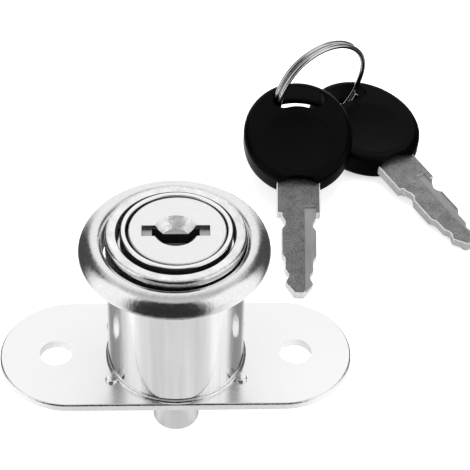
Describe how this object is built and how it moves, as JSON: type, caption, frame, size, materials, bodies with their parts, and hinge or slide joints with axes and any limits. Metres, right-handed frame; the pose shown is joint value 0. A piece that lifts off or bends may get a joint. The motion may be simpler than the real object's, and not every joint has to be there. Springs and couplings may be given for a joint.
{
  "type": "push cylinder lock",
  "caption": "Round push cylinder lock on an oblong two-hole plate, with a flared trim ring, a locking pin at the rear, and two flat keys with moulded heads on a split ring.",
  "frame": {"origin": "middle of the mounting plate's upper face, which lies against the door, on the lock's axis and midway between the two fixing holes", "axes": "+Z along the lock's axis, out of its front face; +X along the mounting plate; +Y away from the viewer"},
  "size_m": [0.0848, 0.0974, 0.0423],
  "materials": {
    "plate_chrome": "bright plated",
    "barrel_chrome": "polished plated",
    "rosette_chrome": "polished plated",
    "sleeve_chrome": "bright plated",
    "plug_satin": "satin plated",
    "pin_steel": "satin",
    "steel": "turned",
    "spring_steel": "drawn",
    "brass": "stamped",
    "key_steel": "satin nickel",
    "key_plastic": "soft gloss",
    "ring_steel": "bright nickel"
  },
  "bodies": {
    "lock_body": {"mounting_plate": "plate_chrome", "barrel_housing": "barrel_chrome", "guide_bush": "steel", "return_spring": "spring_steel"},
    "rosette": {"rosette": "rosette_chrome"},
    "push_cylinder": {"cylinder_sleeve": "sleeve_chrome", "cylinder_end_cap": "steel", "plunger_pin": "pin_steel"},
    "plug": {"lock_plug": "plug_satin", "plug_clip": "spring_steel", "wafer_springs": "spring_steel"},
    "latch": {"latch_catch": "spring_steel"},
    "wafer_1": {"wafer_1": "brass"},
    "wafer_2": {"wafer_2": "brass"},
    "wafer_3": {"wafer_3": "brass"},
    "wafer_4": {"wafer_4": "brass"},
    "wafer_5": {"wafer_5": "brass"},
    "wafer_6": {"wafer_6": "brass"},
    "wafer_7": {"wafer_7": "brass"},
    "key_1": {"key_1_blade": "key_steel", "key_1_head": "key_plastic"},
    "key_2": {"key_2_blade": "key_steel", "key_2_head": "key_plastic"},
    "key_ring": {"key_ring": "ring_steel"}
  },
  "joints": [
    {"name": "rosette_slide", "type": "slide", "parent": "lock_body", "child": "rosette", "axis": [0, 0, 1], "range_m": [-0.006, 0.006]},
    {"name": "button_slide", "type": "slide", "parent": "lock_body", "child": "push_cylinder", "axis": [0, 0, 1], "range_m": [0, 0.008], "deforming": ["return_spring", "latch_catch"]},
    {"name": "plug_turn", "type": "hinge", "parent": "push_cylinder", "child": "plug", "pos_m": [0, 0, 0.02], "axis": [0, 0, -1], "range_deg": [0, 90]},
    {"name": "latch_slide", "type": "slide", "parent": "push_cylinder", "child": "latch", "axis": [0, -1, 0], "range_m": [0, 0.00075]},
    {"name": "wafer_1_slide", "type": "slide", "parent": "plug", "child": "wafer_1", "axis": [1, 0, 0], "range_m": [0, 0.0006], "deforming": ["wafer_springs"]},
    {"name": "wafer_2_slide", "type": "slide", "parent": "plug", "child": "wafer_2", "axis": [1, 0, 0], "range_m": [0, 0.0006]},
    {"name": "wafer_3_slide", "type": "slide", "parent": "plug", "child": "wafer_3", "axis": [1, 0, 0], "range_m": [0, 0.0006]},
    {"name": "wafer_4_slide", "type": "slide", "parent": "plug", "child": "wafer_4", "axis": [1, 0, 0], "range_m": [0, 0.0006]},
    {"name": "wafer_5_slide", "type": "slide", "parent": "plug", "child": "wafer_5", "axis": [1, 0, 0], "range_m": [0, 0.0006]},
    {"name": "wafer_6_slide", "type": "slide", "parent": "plug", "child": "wafer_6", "axis": [1, 0, 0], "range_m": [0, 0.0006]},
    {"name": "wafer_7_slide", "type": "slide", "parent": "plug", "child": "wafer_7", "axis": [1, 0, 0], "range_m": [0, 0.0006]},
    {"name": "key_set_lift", "type": "slide", "parent": "lock_body", "child": "key_1", "axis": [0, 0, 1], "range_m": [0, 0.04]},
    {"name": "key_fan", "type": "hinge", "parent": "key_1", "child": "key_2", "pos_m": [0.02873, 0.07412, -0.00406], "axis": [0.5302, -0.8468, -0.0417], "range_deg": [0, 60]},
    {"name": "ring_turn", "type": "hinge", "parent": "key_1", "child": "key_ring", "pos_m": [0.02873, 0.07412, -0.00406], "axis": [0.5302, -0.8468, -0.0417], "continuous": true}
  ],
  "couplings": [
    {"joint": "latch_slide", "follows": "plug_turn", "m_per_rad": 0.00047746}
  ]
}
